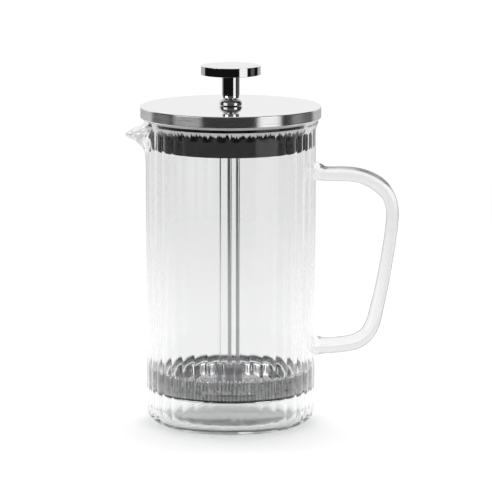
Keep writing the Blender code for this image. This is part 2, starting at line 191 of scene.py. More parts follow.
def polished_steel(name, base=(0.86, 0.86, 0.87), rough=(0.035, 0.085), turned=0.25, turn_scale=900.0, fine=0.02):
    """Polished stainless steel: faint turning lines round the axis, small scratches and uneven gloss."""
    m, nt, p = new_material(name)
    p.inputs["Metallic"].default_value = 1.0
    coord = node(nt, "ShaderNodeTexCoord")
    sep = node(nt, "ShaderNodeSeparateXYZ")
    nt.links.new(coord.outputs["Object"], sep.inputs[0])
    rad = node(nt, "ShaderNodeMath", operation="POWER")
    sq = node(nt, "ShaderNodeCombineXYZ")
    nt.links.new(sep.outputs["X"], sq.inputs["X"])
    nt.links.new(sep.outputs["Y"], sq.inputs["Y"])
    length = node(nt, "ShaderNodeVectorMath", operation="LENGTH")
    nt.links.new(sq.outputs[0], length.inputs[0])
    nt.nodes.remove(rad)
    ring = node(nt, "ShaderNodeCombineXYZ")
    nt.links.new(length.outputs["Value"], ring.inputs["X"])
    nt.links.new(sep.outputs["Z"], ring.inputs["Y"])
    lines = node(nt, "ShaderNodeTexNoise")
    lines.inputs["Scale"].default_value = turn_scale
    lines.inputs["Detail"].default_value = 3.0
    nt.links.new(ring.outputs[0], lines.inputs["Vector"])
    cloud = node(nt, "ShaderNodeTexNoise")
    cloud.inputs["Scale"].default_value = 60.0
    cloud.inputs["Detail"].default_value = 4.0
    nt.links.new(coord.outputs["Object"], cloud.inputs["Vector"])
    mixv = node(nt, "ShaderNodeMath", operation="ADD")
    nt.links.new(lines.outputs["Fac"], mixv.inputs[0])
    nt.links.new(cloud.outputs["Fac"], mixv.inputs[1])
    rr = node(nt, "ShaderNodeMapRange")
    rr.inputs["From Min"].default_value = 0.6
    rr.inputs["From Max"].default_value = 1.4
    rr.inputs["To Min"].default_value = rough[0]
    rr.inputs["To Max"].default_value = rough[1]
    nt.links.new(mixv.outputs[0], rr.inputs["Value"])
    nt.links.new(rr.outputs[0], p.inputs["Roughness"])
    tint = node(nt, "ShaderNodeMapRange", data_type="FLOAT_VECTOR")
    tint.inputs[7].default_value = (0.3, 0.3, 0.3)
    tint.inputs[8].default_value = (0.7, 0.7, 0.7)
    tint.inputs[9].default_value = tuple(c - fine for c in base)
    tint.inputs[10].default_value = tuple(min(1, c + fine) for c in base)
    nt.links.new(cloud.outputs["Fac"], tint.inputs[6])
    nt.links.new(tint.outputs[1], p.inputs["Base Color"])
    bump = node(nt, "ShaderNodeBump")
    bump.inputs["Strength"].default_value = turned
    bump.inputs["Distance"].default_value = 0.00001
    nt.links.new(lines.outputs["Fac"], bump.inputs["Height"])
    nt.links.new(bump.outputs[0], p.inputs["Normal"])
    return m


def brushed_band(name):
    """Brushed steel with lines that run round the piece, so that reflections spread up and down."""
    m, nt, p = new_material(name)
    p.inputs["Metallic"].default_value = 1.0
    p.inputs["Anisotropic"].default_value = 0.95
    p.inputs["Anisotropic Rotation"].default_value = 0.25
    tangent = node(nt, "ShaderNodeTangent", direction_type="RADIAL", axis="Z")
    nt.links.new(tangent.outputs[0], p.inputs["Tangent"])
    coord = node(nt, "ShaderNodeTexCoord")
    sep = node(nt, "ShaderNodeSeparateXYZ")
    nt.links.new(coord.outputs["Object"], sep.inputs[0])
    turn = node(nt, "ShaderNodeMath", operation="ARCTAN2")
    nt.links.new(sep.outputs["Y"], turn.inputs[0])
    nt.links.new(sep.outputs["X"], turn.inputs[1])
    uv = node(nt, "ShaderNodeCombineXYZ")
    nt.links.new(turn.outputs[0], uv.inputs["X"])
    high = node(nt, "ShaderNodeMath", operation="MULTIPLY")
    high.inputs[1].default_value = 2600.0
    nt.links.new(sep.outputs["Z"], high.inputs[0])
    nt.links.new(high.outputs[0], uv.inputs["Y"])
    lines = node(nt, "ShaderNodeTexNoise")
    lines.inputs["Scale"].default_value = 2.2
    lines.inputs["Detail"].default_value = 4.0
    nt.links.new(uv.outputs[0], lines.inputs["Vector"])
    r = node(nt, "ShaderNodeMapRange")
    r.inputs["From Min"].default_value, r.inputs["From Max"].default_value = 0.3, 0.7
    r.inputs["To Min"].default_value, r.inputs["To Max"].default_value = 0.17, 0.27
    nt.links.new(lines.outputs["Fac"], r.inputs["Value"])
    nt.links.new(r.outputs[0], p.inputs["Roughness"])
    t = node(nt, "ShaderNodeMapRange", data_type="FLOAT_VECTOR")
    t.inputs[7].default_value = (0.3, 0.3, 0.3)
    t.inputs[8].default_value = (0.7, 0.7, 0.7)
    t.inputs[9].default_value = (0.68, 0.68, 0.69)
    t.inputs[10].default_value = (0.98, 0.98, 0.98)
    nt.links.new(lines.outputs["Fac"], t.inputs[6])
    nt.links.new(t.outputs[1], p.inputs["Base Color"])
    b = node(nt, "ShaderNodeBump")
    b.inputs["Strength"].default_value = 0.5
    b.inputs["Distance"].default_value = 0.00002
    nt.links.new(lines.outputs["Fac"], b.inputs["Height"])
    nt.links.new(b.outputs[0], p.inputs["Normal"])
    return m


def wire_steel(name, base=(0.55, 0.55, 0.56), rough=(0.22, 0.38)):
    m, nt, p = new_material(name)
    p.inputs["Metallic"].default_value = 1.0
    coord = node(nt, "ShaderNodeTexCoord")
    n = node(nt, "ShaderNodeTexNoise")
    n.inputs["Scale"].default_value = 700.0
    n.inputs["Detail"].default_value = 3.0
    nt.links.new(coord.outputs["Object"], n.inputs["Vector"])
    r = node(nt, "ShaderNodeMapRange")
    r.inputs["To Min"].default_value, r.inputs["To Max"].default_value = rough
    nt.links.new(n.outputs["Fac"], r.inputs["Value"])
    nt.links.new(r.outputs[0], p.inputs["Roughness"])
    t = node(nt, "ShaderNodeMapRange", data_type="FLOAT_VECTOR")
    t.inputs[7].default_value = (0.32, 0.32, 0.32)
    t.inputs[8].default_value = (0.66, 0.66, 0.66)
    t.inputs[9].default_value = tuple(c * 0.55 for c in base)
    t.inputs[10].default_value = tuple(min(1, c * 1.2) for c in base)
    nt.links.new(n.outputs["Fac"], t.inputs[6])
    nt.links.new(t.outputs[1], p.inputs["Base Color"])
    return m


def woven_steel(name):
    """Cloth of fine steel wire: over-and-under weave in bump and colour, on the piece's own coordinates, with painted
    light and shade in stripes round the axis, as many as the pleats.
    """
    m, nt, p = new_material(name)
    p.inputs["Metallic"].default_value = 1.0
    coord = node(nt, "ShaderNodeTexCoord")
    sep = node(nt, "ShaderNodeSeparateXYZ")
    nt.links.new(coord.outputs["Object"], sep.inputs[0])
    pitch = 0.00042
    waves = []
    for a in ("X", "Y"):
        f = node(nt, "ShaderNodeMath", operation="MULTIPLY")
        f.inputs[1].default_value = TAU / (2 * pitch)
        nt.links.new(sep.outputs[a], f.inputs[0])
        s = node(nt, "ShaderNodeMath", operation="SINE")
        nt.links.new(f.outputs[0], s.inputs[0])
        waves.append(s)
    weave = node(nt, "ShaderNodeMath", operation="MULTIPLY")
    nt.links.new(waves[0].outputs[0], weave.inputs[0])
    nt.links.new(waves[1].outputs[0], weave.inputs[1])
    t = node(nt, "ShaderNodeMapRange", data_type="FLOAT_VECTOR")
    t.inputs[7].default_value = (-1, -1, -1)
    t.inputs[9].default_value = (0.06, 0.06, 0.06)
    t.inputs[10].default_value = (0.42, 0.42, 0.43)
    nt.links.new(weave.outputs[0], t.inputs[6])
    # painted light and shade: the colour is scaled lighter and darker across each pleat, 132 stripes round the axis
    turn = node(nt, "ShaderNodeMath", operation="ARCTAN2")
    nt.links.new(sep.outputs["Y"], turn.inputs[0])
    nt.links.new(sep.outputs["X"], turn.inputs[1])
    many = node(nt, "ShaderNodeMath", operation="MULTIPLY")
    many.inputs[1].default_value = 132.0
    nt.links.new(turn.outputs[0], many.inputs[0])
    wave = node(nt, "ShaderNodeMath", operation="COSINE")
    nt.links.new(many.outputs[0], wave.inputs[0])
    pleat_shade = node(nt, "ShaderNodeMapRange")
    pleat_shade.inputs["From Min"].default_value = -1.0
    pleat_shade.inputs["To Min"].default_value, pleat_shade.inputs["To Max"].default_value = 0.25, 1.35
    nt.links.new(wave.outputs[0], pleat_shade.inputs["Value"])
    pleat_shaded_colour = node(nt, "ShaderNodeVectorMath", operation="SCALE")
    nt.links.new(t.outputs[1], pleat_shaded_colour.inputs[0])
    nt.links.new(pleat_shade.outputs[0], pleat_shaded_colour.inputs["Scale"])
    nt.links.new(pleat_shaded_colour.outputs[0], p.inputs["Base Color"])
    p.inputs["Roughness"].default_value = 0.34
    bump = node(nt, "ShaderNodeBump")
    bump.inputs["Strength"].default_value = 0.6
    bump.inputs["Distance"].default_value = 0.0001
    nt.links.new(weave.outputs[0], bump.inputs["Height"])
    nt.links.new(bump.outputs[0], p.inputs["Normal"])
    return m


def black_plastic(name):
    m, nt, p = new_material(name)
    coord = node(nt, "ShaderNodeTexCoord")
    n = node(nt, "ShaderNodeTexNoise")
    n.inputs["Scale"].default_value = 220.0
    n.inputs["Detail"].default_value = 5.0
    nt.links.new(coord.outputs["Object"], n.inputs["Vector"])
    r = node(nt, "ShaderNodeMapRange")
    r.inputs["To Min"].default_value, r.inputs["To Max"].default_value = 0.22, 0.36
    nt.links.new(n.outputs["Fac"], r.inputs["Value"])
    nt.links.new(r.outputs[0], p.inputs["Roughness"])
    p.inputs["Specular IOR Level"].default_value = 0.06
    t = node(nt, "ShaderNodeMapRange", data_type="FLOAT_VECTOR")
    t.inputs[9].default_value = (0.001, 0.001, 0.001)
    t.inputs[10].default_value = (0.004, 0.004, 0.004)
    nt.links.new(n.outputs["Fac"], t.inputs[6])
    nt.links.new(t.outputs[1], p.inputs["Base Color"])
    b = node(nt, "ShaderNodeBump")
    b.inputs["Strength"].default_value = 0.15
    b.inputs["Distance"].default_value = 0.0001
    nt.links.new(n.outputs["Fac"], b.inputs["Height"])
    nt.links.new(b.outputs[0], p.inputs["Normal"])
    return m


def clear_glass(name, tint=(0.985, 0.990, 0.987), wavy=0.05, sheen=0.0, edge=0.0, painted_glints=0.0, soft=0.0):
    """Clear heat-resistant glass with the slight waviness of drawn tube. Lamps shine through it.
    With sheen, that share of the surface is a white diffuse skin, a painted highlight on the flame-polished edge; a
    second, irregular share of the same skin hanging under the rim gives painted glints."""
    m, nt, p = new_material(name)
    p.inputs["Base Color"].default_value = (*tint, 1)
    p.inputs["Transmission Weight"].default_value = 1.0
    p.inputs["IOR"].default_value = 1.47
    coord = node(nt, "ShaderNodeTexCoord")
    mp = node(nt, "ShaderNodeMapping")
    mp.inputs["Scale"].default_value = (1, 1, 0.35)
    nt.links.new(coord.outputs["Object"], mp.inputs["Vector"])
    n = node(nt, "ShaderNodeTexNoise")
    n.inputs["Scale"].default_value = 45.0
    n.inputs["Detail"].default_value = 1.0
    nt.links.new(mp.outputs[0], n.inputs["Vector"])
    r = node(nt, "ShaderNodeMapRange")
    r.inputs["To Min"].default_value, r.inputs["To Max"].default_value = 0.0, 0.006
    nt.links.new(n.outputs["Fac"], r.inputs["Value"])
    nt.links.new(r.outputs[0], p.inputs["Roughness"])
    b = node(nt, "ShaderNodeBump")
    b.inputs["Strength"].default_value = wavy
    b.inputs["Distance"].default_value = 0.001
    nt.links.new(n.outputs["Fac"], b.inputs["Height"])
    nt.links.new(b.outputs[0], p.inputs["Normal"])
    clear = node(nt, "ShaderNodeBsdfTransparent")
    clear.inputs["Color"].default_value = (0.93, 0.94, 0.935, 1)
    path = node(nt, "ShaderNodeLightPath")
    # light that has been trapped in the wall for long is let out instead of lost
    long = node(nt, "ShaderNodeMath", operation="GREATER_THAN")
    long.inputs[1].default_value = 7.5
    nt.links.new(path.outputs["Ray Depth"], long.inputs[0])
    trapped = node(nt, "ShaderNodeMath", operation="GREATER_THAN")
    trapped.inputs[1].default_value = 1.5
    nt.links.new(path.outputs["Glossy Depth"], trapped.inputs[0])
    free = node(nt, "ShaderNodeMath", operation="MAXIMUM")
    nt.links.new(long.outputs[0], free.inputs[0])
    nt.links.new(trapped.outputs[0], free.inputs[1])
    mix = node(nt, "ShaderNodeMixShader")
    nt.links.new(path.outputs["Is Shadow Ray"], mix.inputs["Fac"])
    open_way = node(nt, "ShaderNodeBsdfTransparent")
    release = node(nt, "ShaderNodeMixShader")
    nt.links.new(free.outputs[0], release.inputs["Fac"])
    nt.links.new(p.outputs[0], release.inputs[1])
    nt.links.new(open_way.outputs[0], release.inputs[2])
    body = release.outputs[0]
    if soft:
        calm = node(nt, "ShaderNodeMixShader")
        calm.inputs["Fac"].default_value = soft
        veil = node(nt, "ShaderNodeBsdfTransparent")
        veil.inputs["Color"].default_value = (0.965, 0.965, 0.965, 1)
        nt.links.new(body, calm.inputs[1])
        nt.links.new(veil.outputs[0], calm.inputs[2])
        body = calm.outputs[0]
    if edge:      # painted shade: on this solid bar of glass the base colour is darkened along its outline
        facing = node(nt, "ShaderNodeLayerWeight")
        facing.inputs["Blend"].default_value = 0.5
        shade = node(nt, "ShaderNodeMapRange", data_type="FLOAT_VECTOR", interpolation_type="SMOOTHSTEP")
        shade.inputs[7].default_value = (0.34, 0.34, 0.34)
        shade.inputs[8].default_value = (0.8, 0.8, 0.8)
        shade.inputs[9].default_value = tint
        shade.inputs[10].default_value = tuple(c * edge for c in tint)
        nt.links.new(facing.outputs["Facing"], shade.inputs[6])
        way = node(nt, "ShaderNodeSeparateXYZ")
        nt.links.new(coord.outputs["Normal"], way.inputs[0])
        place = node(nt, "ShaderNodeSeparateXYZ")
        nt.links.new(coord.outputs["Object"], place.inputs[0])
        half = node(nt, "ShaderNodeMapRange")
        half.inputs["From Min"].default_value, half.inputs["From Max"].default_value = 0.060, 0.125
        half.inputs["To Min"].default_value, half.inputs["To Max"].default_value = -0.75, 1.0
        nt.links.new(place.outputs["Z"], half.inputs["Value"])
        outward = node(nt, "ShaderNodeMath", operation="MULTIPLY")
        nt.links.new(way.outputs["Z"], outward.inputs[0])
        nt.links.new(half.outputs[0], outward.inputs[1])
        aside = node(nt, "ShaderNodeMath", operation="ABSOLUTE")
        nt.links.new(way.outputs["Y"], aside.inputs[0])
        turned = node(nt, "ShaderNodeCombineXYZ")
        nt.links.new(way.outputs["X"], turned.inputs["X"])
        nt.links.new(aside.outputs[0], turned.inputs["Y"])
        nt.links.new(outward.outputs[0], turned.inputs["Z"])
        lean = node(nt, "ShaderNodeVectorMath", operation="DOT_PRODUCT")
        lean.inputs[1].default_value = (0.42, 0.36, 0.83)
        nt.links.new(turned.outputs[0], lean.inputs[0])
        # painted dark line: front faces whose normal leans outward, sideways and up (down on the lower arm) are
        # darkened almost to black, unevenly along the bar
        strip = node(nt, "ShaderNodeMapRange", interpolation_type="SMOOTHSTEP")
        strip.inputs["From Min"].default_value, strip.inputs["From Max"].default_value = 0.80, 0.93
        nt.links.new(lean.outputs["Value"], strip.inputs["Value"])
        uneven = node(nt, "ShaderNodeMapRange")
        uneven.inputs["From Min"].default_value, uneven.inputs["From Max"].default_value = 0.3, 0.65
        uneven.inputs["To Min"].default_value, uneven.inputs["To Max"].default_value = 0.6, 1.0
        nt.links.new(n.outputs["Fac"], uneven.inputs["Value"])
        outside = node(nt, "ShaderNodeNewGeometry")
        outer = node(nt, "ShaderNodeMath", operation="SUBTRACT")
        outer.inputs[0].default_value = 1.0
        nt.links.new(outside.outputs["Backfacing"], outer.inputs[1])
        painted_line = node(nt, "ShaderNodeMath", operation="MULTIPLY")
        nt.links.new(strip.outputs[0], painted_line.inputs[0])
        nt.links.new(uneven.outputs[0], painted_line.inputs[1])
        painted_line_outside = node(nt, "ShaderNodeMath", operation="MULTIPLY")
        nt.links.new(painted_line.outputs[0], painted_line_outside.inputs[0])
        nt.links.new(outer.outputs[0], painted_line_outside.inputs[1])
        keep = node(nt, "ShaderNodeMapRange")
        keep.inputs["To Min"].default_value, keep.inputs["To Max"].default_value = 1.0, 0.03
        nt.links.new(painted_line_outside.outputs[0], keep.inputs["Value"])
        toned = node(nt, "ShaderNodeVectorMath", operation="SCALE")
        nt.links.new(shade.outputs[1], toned.inputs[0])
        nt.links.new(keep.outputs[0], toned.inputs["Scale"])
        nt.links.new(toned.outputs[0], p.inputs["Base Color"])
    # painted highlight: a fixed share of white diffuse skin mixed over the glass
    if sheen:
        skin = node(nt, "ShaderNodeBsdfDiffuse")
        skin.inputs["Color"].default_value = (0.95, 0.95, 0.95, 1)
        over = node(nt, "ShaderNodeMixShader")
        over.inputs["Fac"].default_value = sheen
    # painted glints: the same white diffuse skin in irregular runs hanging from just under the rim, up to this share
    # of the surface
    if painted_glints:
        skin = node(nt, "ShaderNodeBsdfDiffuse")
        skin.inputs["Color"].default_value = (0.95, 0.95, 0.95, 1)
        xyz = node(nt, "ShaderNodeSeparateXYZ")
        nt.links.new(coord.outputs["Object"], xyz.inputs[0])
        turn = node(nt, "ShaderNodeMath", operation="ARCTAN2")
        nt.links.new(xyz.outputs["Y"], turn.inputs[0])
        nt.links.new(xyz.outputs["X"], turn.inputs[1])
        flat = node(nt, "ShaderNodeCombineXYZ")
        nt.links.new(turn.outputs[0], flat.inputs["X"])
        run = node(nt, "ShaderNodeTexNoise")
        run.inputs["Scale"].default_value = 22.0
        run.inputs["Detail"].default_value = 3.0
        run.inputs["Roughness"].default_value = 0.65
        nt.links.new(flat.outputs[0], run.inputs["Vector"])
        reach = node(nt, "ShaderNodeMath", operation="MULTIPLY_ADD")
        reach.inputs[1].default_value = 0.013
        nt.links.new(run.outputs["Fac"], reach.inputs[0])
        nt.links.new(xyz.outputs["Z"], reach.inputs[2])
        cover = node(nt, "ShaderNodeMapRange", interpolation_type="SMOOTHSTEP")
        cover.inputs["From Min"].default_value, cover.inputs["From Max"].default_value = 0.1827, 0.1840
        cover.inputs["To Min"].default_value, cover.inputs["To Max"].default_value = 0.0, painted_glints
        nt.links.new(reach.outputs[0], cover.inputs["Value"])
        over = node(nt, "ShaderNodeMixShader")
        nt.links.new(cover.outputs[0], over.inputs["Fac"])
    if sheen or painted_glints:
        nt.links.new(body, over.inputs[1])
        nt.links.new(skin.outputs[0], over.inputs[2])
        body = over.outputs[0]
    nt.links.new(body, mix.inputs[1])
    nt.links.new(clear.outputs[0], mix.inputs[2])
    nt.links.new(mix.outputs[0], nt.nodes["Material Output"].inputs["Surface"])
    return m


GLASS = clear_glass("glass_clear")
# the rim bead: clear glass with a painted highlight mixed over 62 % of it
GLASS_RIM_PAINTED_HIGHLIGHT = clear_glass("glass_rim_painted_highlight", sheen=0.62)
# the flare under the rim: clear glass with painted glints in irregular runs
GLASS_FLARE_PAINTED_GLINTS = clear_glass("glass_flare_painted_glints", painted_glints=0.65)
GLASS_SPOUT = clear_glass("glass_spout", soft=0.5)
# the handle bar: clear glass with painted shade along its outline and painted dark lines on its outer edges
GLASS_BAR_PAINTED_SHADE = clear_glass("glass_bar_painted_shade", tint=(0.955, 0.96, 0.955), wavy=0.12, edge=0.2)
STEEL_LID = polished_steel("steel_lid", base=(0.895, 0.895, 0.90), rough=(0.03, 0.08), turned=0.15, fine=0.012)
STEEL_BAND = brushed_band("steel_band")
STEEL_KNOB = polished_steel("steel_knob", rough=(0.03, 0.07), turned=0.2, turn_scale=1400.0)
STEEL_DOME = polished_steel("steel_dome", base=(0.62, 0.62, 0.63), rough=(0.16, 0.24), turned=0.3)
STEEL_HUB = polished_steel("steel_hub", base=(0.55, 0.55, 0.56), rough=(0.10, 0.2), turned=0.4)
STEEL_ROD = polished_steel("steel_rod", base=(0.78, 0.78, 0.79), rough=(0.06, 0.14))
STEEL_PLATE = polished_steel("steel_plate", base=(0.80, 0.80, 0.81), rough=(0.10, 0.2), turned=0.5)
STEEL_WIRE = wire_steel("steel_wire_drawn", base=(0.94, 0.94, 0.95))
STEEL_COIL = wire_steel("steel_coil", base=(0.86, 0.86, 0.87), rough=(0.12, 0.22))
STEEL_MESH = woven_steel("steel_cloth")
BLACK = black_plastic("plastic_black")

# ------------------------------------------------------------------ glass beaker
RIBS = 36
RIB_PHASE = 3.5
OUT_R = 50.0
VALLEY_R = 46.45
FLUTE_R = 12.2
RIM_Z = top_of("beaker")
RIM_R = 51.4
RIM_IN = 47.6
SPOUT_HALF, SPOUT_LOW, SPOUT_Z, SPOUT_REACH = 24.0, 150.0, 172.1, 62.9
SPOUT_PULL = ((150, 0.0), (156, 0.008), (161, 0.028), (165, 0.075), (169, 0.22), (172, 0.345), (175, 0.50), (178.2, 0.72), (182.2, 0.95), (183.6, 1.0))


def ease(t):
    t = max(0.0, min(1.0, t))
    return t * t * (3 - 2 * t)


def spout_pull(z):
    xs = [k for k, _ in SPOUT_PULL]
    ys = [v for _, v in SPOUT_PULL]
    if z <= xs[0]:
        return 0.0
    if z >= xs[-1]:
        return 1.0
    i = max(k for k in range(len(xs) - 1) if xs[k] <= z)
    slopes = [0.0] + [(ys[k + 1] - ys[k - 1]) / (xs[k + 1] - xs[k - 1]) for k in range(1, len(xs) - 1)] + [0.03]
    h = xs[i + 1] - xs[i]
    t = (z - xs[i]) / h
    return ((2 * t ** 3 - 3 * t ** 2 + 1) * ys[i] + (t ** 3 - 2 * t ** 2 + t) * h * slopes[i]
            + (-2 * t ** 3 + 3 * t ** 2) * ys[i + 1] + (t ** 3 - t ** 2) * h * slopes[i + 1])


def spout_shift(r, z, ang):
    a = abs(ang) / SPOUT_HALF
    if a >= 1 or r < 45 or z < SPOUT_LOW:
        return 0.0, 0.0
    up = min(1.0, (z - SPOUT_LOW) / (RIM_Z - SPOUT_LOW))
    out = (SPOUT_REACH - RIM_R) * spout_pull(z) * (1 - a * a) ** 2.7
    down = -(RIM_Z - SPOUT_Z) * up ** 1.5 * (1 - a * a) ** 1.3
    return out, down


def flute(t):
    """Inner radius at t degrees from the middle of a flute; the ridge between flutes is slightly rounded."""
    c = VALLEY_R - FLUTE_R

    def raw(d):
        d = math.radians(d)
        return c * math.cos(d) + math.sqrt(FLUTE_R ** 2 - (c * math.sin(d)) ** 2)
    u = 5 - abs(t)
    k = 0.55
    if u >= k:
        return raw(t)
    s = (raw(5 - k - 0.01) - raw(5 - k + 0.01)) / 0.02
    return raw(5 - k) - s * (k * k - u * u) / (2 * k)


steps = [-5, -4.7, -4.45, -3.3, -2.0, -0.7, 0.7, 2.0, 3.3, 4.45, 4.7]
columns = []
for f in range(RIBS):
    for t in steps:
        columns.append((RIB_PHASE + 5 + 10 * f + t, t))

outer = [(0, 0.55), (14, 0.5), (26, 0.32), (34, 0.1), (38.5, 0.0), (40.5, 0.0)]
outer += arc(OUT_R - 10, 10, 10, -85, 0, 14)
outer += [(OUT_R, z) for z in (40, 75, 110, 140, 150)]
outer += [(OUT_R, z) for z in np.arange(152, 174.6, 1.5)]
for k in range(9):
    t = (k + 1) / 9
    outer.append((OUT_R + (RIM_R - OUT_R) * ease(t), 174.8 + 4.6 * t))
outer += [(RIM_R, 180.6), (RIM_R, 181.6)]
mid, half = (RIM_R + RIM_IN) / 2, (RIM_R - RIM_IN) / 2
rim = arc(mid, RIM_Z - half, half, 15, 165, 8)
inner = [(RIM_IN, 181.4), (RIM_IN, 180.2)]
for k in range(8):
    t = 1 - (k + 1) / 8
    inner.append((VALLEY_R + (RIM_IN - VALLEY_R) * ease(t), 175.2 + 4.6 * t))
inner += [(VALLEY_R, z) for z in (174.4, 173.6, 172.6, 171.2, 169.5, 168, 166.5, 165, 163.5, 162, 160, 158, 156, 154, 152, 150)]
inner += [(VALLEY_R, z) for z in (140, 110, 75, 40, 16, 13.4)]
inner += arc(VALLEY_R - 7.5, 4.1 + 7.5, 7.5, 0, -90, 12)[1:]
inner += [(30, 4.05), (18, 4.0), (0, 4.0)]


def rib_weight(z):
    return ease((z - 5.2) / 6.0) * (1 - ease((z - 173.2) / 2.2))


bm = bmesh.new()
rings = []
profile = [(p, False) for p in outer + rim] + [(p, True) for p in inner]
for (r, z), is_inner in profile:
    if r < 1e-6:
        rings.append([bm.verts.new((0, 0, z))])
        continue
    ring = []
    w = rib_weight(z) if is_inner and r > 40 else 0.0
    for deg, t in columns:
        rr = r + (flute(t) - VALLEY_R) * w
        off = (deg - 180 + 180) % 360 - 180
        out, down = spout_shift(rr, z, off)
        rr += out
        ring.append(bm.verts.new((rr * math.cos(math.radians(deg)), rr * math.sin(math.radians(deg)), z + down)))
    rings.append(ring)
seg = len(columns)
for k in range(len(rings) - 1):
    a, b = rings[k], rings[k + 1]
    for i in range(seg):
        j = (i + 1) % seg
        if len(a) == 1:
            bm.faces.new((a[0], b[j], b[i]))
        elif len(b) == 1:
            bm.faces.new((a[i], a[j], b[0]))
        else:
            bm.faces.new((a[i], a[j], b[j], b[i]))
beaker = link("glass_beaker", bm, [GLASS, GLASS_RIM_PAINTED_HIGHLIGHT, GLASS_FLARE_PAINTED_GLINTS, GLASS_BAR_PAINTED_SHADE, GLASS_SPOUT], smooth=50)
for face in beaker.data.polygons:      # outer faces: the fire-polished rim gets a painted highlight, the smooth flare under it painted glints, except towards the spout
    c, fz = face.center / MM, face.center.z / MM
    if math.hypot(c.x, c.y) > 48.6 and face.normal.dot(Vector((c.x, c.y, 0))) > 0:
        face.material_index = 1 if 180.3 < fz < 182.6 else 2 if 168.0 < fz < 179.0 and face.center.x > -50 * MM else 0

# ------------------------------------------------------------------ glass handle
BAR = 4.4
PATH = [
    (50.0, 149.6, 5.6), (51.3, 149.5, 5.5), (52.8, 149.0, 4.85), (55.2, 148.4, 4.42), (60.0, 148.2, BAR),
    (66.0, 148.2, BAR), (74.0, 147.5, BAR), (81.3, 145.2, BAR + 0.1), (88.2, 140.8, BAR + 0.1),
    (93.2, 134.4, BAR - 0.5), (95.2, 126.6, BAR - 0.7), (94.9, 117.5, BAR - 0.7),
    (93.1, 103.7, BAR - 0.7), (89.9, 84.5, BAR - 0.55), (86.6, 69.2, BAR - 0.3),
    (83.9, 58.6, BAR), (79.9, 51.8, BAR + 0.2), (74.0, 48.0, BAR + 0.4),
    (66.0, 46.3, BAR + 0.4), (60.0, 45.7, BAR + 0.4), (55.6, 45.5, BAR + 0.5), (53.0, 45.5, 5.3), (51.3, 45.5, 5.9), (50.0, 45.5, 6.0),
]


def catmull(points, per):
    pts = [np.array(p, float) for p in points]
    pts = [2 * pts[0] - pts[1]] + pts + [2 * pts[-1] - pts[-2]]
    out = []
    for k in range(1, len(pts) - 2):
        p0, p1, p2, p3 = pts[k - 1:k + 3]
        t0, t1 = 0.0, np.linalg.norm((p1 - p0)[:2]) ** 0.5
        t2 = t1 + np.linalg.norm((p2 - p1)[:2]) ** 0.5
        t3 = t2 + np.linalg.norm((p3 - p2)[:2]) ** 0.5
        for i in range(per):
            t = t1 + (t2 - t1) * i / per
            a1 = (t1 - t) / (t1 - t0) * p0 + (t - t0) / (t1 - t0) * p1
            a2 = (t2 - t) / (t2 - t1) * p1 + (t - t1) / (t2 - t1) * p2
            a3 = (t3 - t) / (t3 - t2) * p2 + (t - t2) / (t3 - t2) * p3
            b1 = (t2 - t) / (t2 - t0) * a1 + (t - t0) / (t2 - t0) * a2
            b2 = (t3 - t) / (t3 - t1) * a2 + (t - t1) / (t3 - t1) * a3
            out.append((t2 - t) / (t2 - t1) * b1 + (t - t1) / (t2 - t1) * b2)
    out.append(pts[-2])
    return out


path = catmull(PATH, 5)
bm = bmesh.new()
SIDES = 36
rings = []
for k, (x, z, r) in enumerate(path):
    a, b = path[max(k - 1, 0)], path[min(k + 1, len(path) - 1)]
    t = Vector((b[0] - a[0], 0, b[1] - a[1])).normalized()
    n = Vector((-t.z, 0, t.x))
    ring = []
    for i in range(SIDES):
        w = TAU * i / SIDES
        p = Vector((x, 0, z)) + n * (r * math.cos(w)) + Vector((0, r * math.sin(w), 0))
        if x < 52.6:     # the ends hug the round wall, a little inside its surface
            hug = math.sqrt(49.2 ** 2 - p.y ** 2) + (x - 50.0)
            p.x = hug + (p.x - hug) * max(0, (x - 50.0) / 2.6)
        ring.append(bm.verts.new(p))
    rings.append(ring)
for k in range(len(rings) - 1):
    for i in range(SIDES):
        j = (i + 1) % SIDES
        bm.faces.new((rings[k][i], rings[k][j], rings[k + 1][j], rings[k + 1][i]))
bm.faces.new(rings[0][::-1])
bm.faces.new(rings[-1])
handle = link("glass_handle", bm, GLASS, smooth=50)

# one fused glass body: the weld has no inner face
m = beaker.modifiers.new("weld", "BOOLEAN")
m.operation, m.object, m.solver = "UNION", handle, "EXACT"
graph = bpy.context.evaluated_depsgraph_get()
fused = bpy.data.meshes.new_from_object(beaker.evaluated_get(graph))
beaker.modifiers.clear()
beaker.data = fused
fused.shade_smooth()
fused.set_sharp_from_angle(angle=math.radians(50))
bpy.data.objects.remove(handle)
for face in fused.polygons:      # the bar past its welds
    if face.center.x > 52.4 * MM and face.center.z < 158 * MM:
        face.material_index = 3
    elif face.center.x < -50.6 * MM and face.center.z > 152 * MM:      # and the spout
        face.material_index = 4
place(beaker, "beaker", ["beaker", "handle"], "glass")

# ------------------------------------------------------------------ lid
LID_R, LID_TOP, LID_LOW = radius_of("lid_cap"), top_of("lid_cap"), low_of("lid_cap")
bore = 4.75
cap = rounded([(bore, LID_TOP - 0.8), (bore, LID_TOP - 0.02), (LID_R, LID_TOP), (LID_R, LID_LOW), (LID_R - 0.8, LID_LOW), (LID_R - 0.8, LID_TOP - 0.8)],
              [0.1, 0.1, 0.75, 0.38, 0.38, 0.6], 6)
lid = link("lid_shell", lathe(cap, 192), [STEEL_LID, STEEL_BAND])
for face in lid.data.polygons:     # the outside of the band is brushed, the top is polished
    if abs(face.normal.z) < 0.35 and math.hypot(face.center.x, face.center.y) > (LID_R - 0.5) * MM:
        face.material_index = 1
place(lid, "lid", ["lid_cap"], "polished_steel")

# black moulded insert with its strainer slots
web_top, web_low = top_of("lid_collar"), 182.6
CR, CL = 43.6, low_of("lid_collar")
bm = bmesh.new()
SEG = 240
slots = []
for i in range(9):
    a = 180 + 56.0 * (i / 8 - 0.5)
    slots.append(a)


def in_slot(deg):
    return any(abs((deg - a + 180) % 360 - 180) < 1.05 for a in slots)


